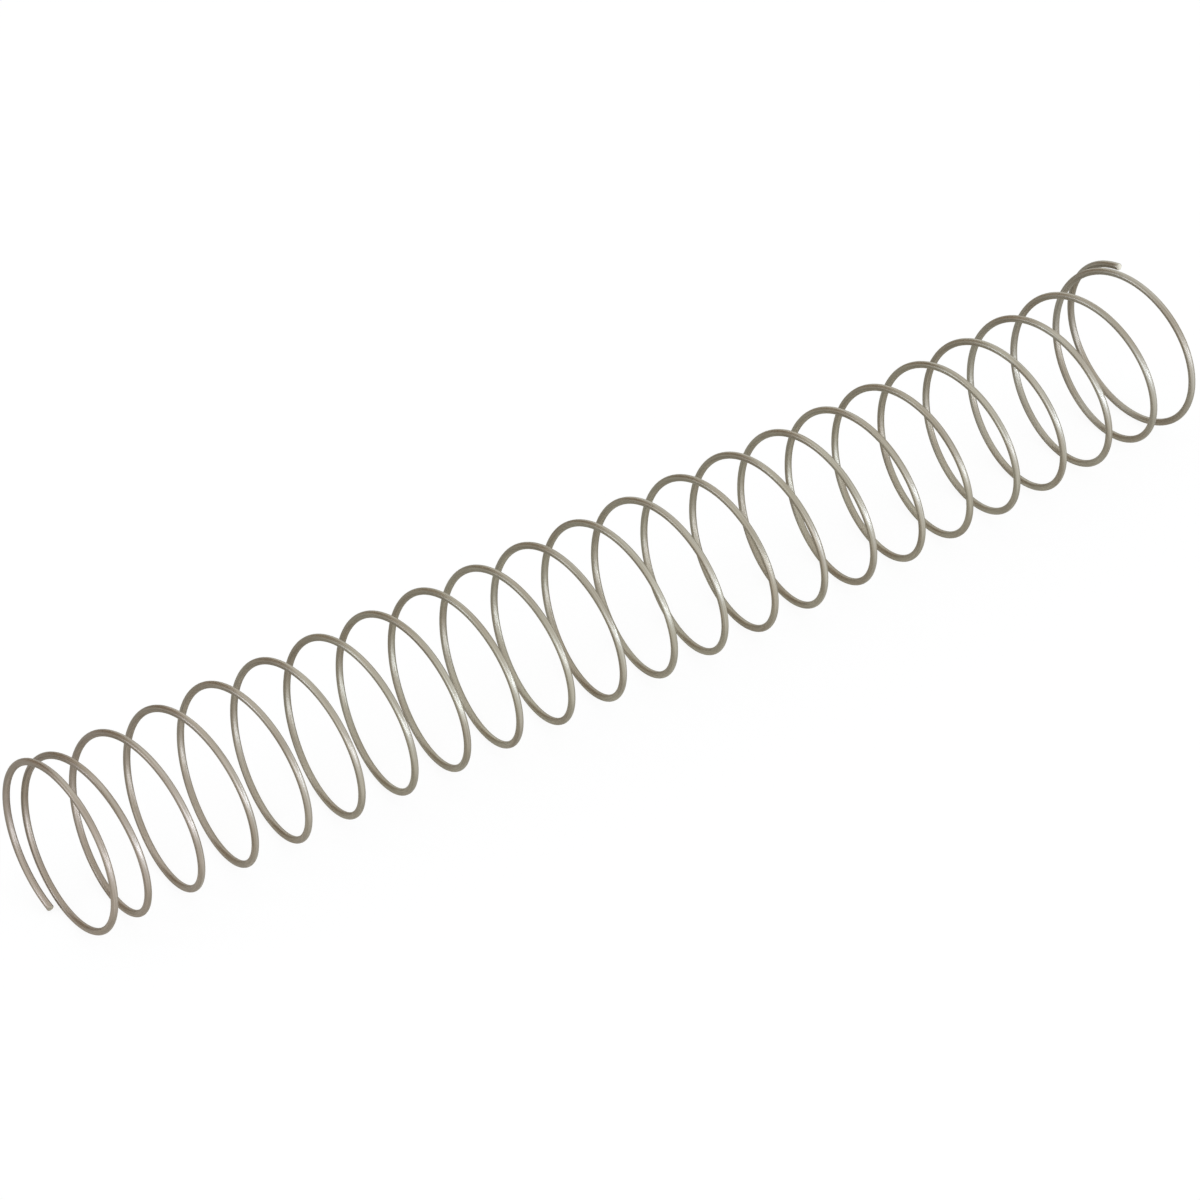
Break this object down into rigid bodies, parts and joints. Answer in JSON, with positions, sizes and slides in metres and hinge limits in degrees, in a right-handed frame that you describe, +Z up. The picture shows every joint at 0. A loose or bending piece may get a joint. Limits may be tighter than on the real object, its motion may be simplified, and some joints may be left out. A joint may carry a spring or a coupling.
{
  "type": "carburetor piston spring",
  "caption": "Long soft helical compression spring of round drawn wire with closed unground ends, for returning a sliding carburetor piston.",
  "frame": {"origin": "on the surface that the spring lies on, under the middle of its box", "axes": "+X along the spring from its first closed end to its last, +Z up from the surface it lies on"},
  "size_m": [0.1492, 0.0232, 0.0204],
  "materials": {
    "spring_wire": "bright drawn stainless wire, slightly warm grey, fine lengthwise draw marks"
  },
  "bodies": {
    "root": {"piston_spring": "spring_wire"}
  },
  "joints": []
}
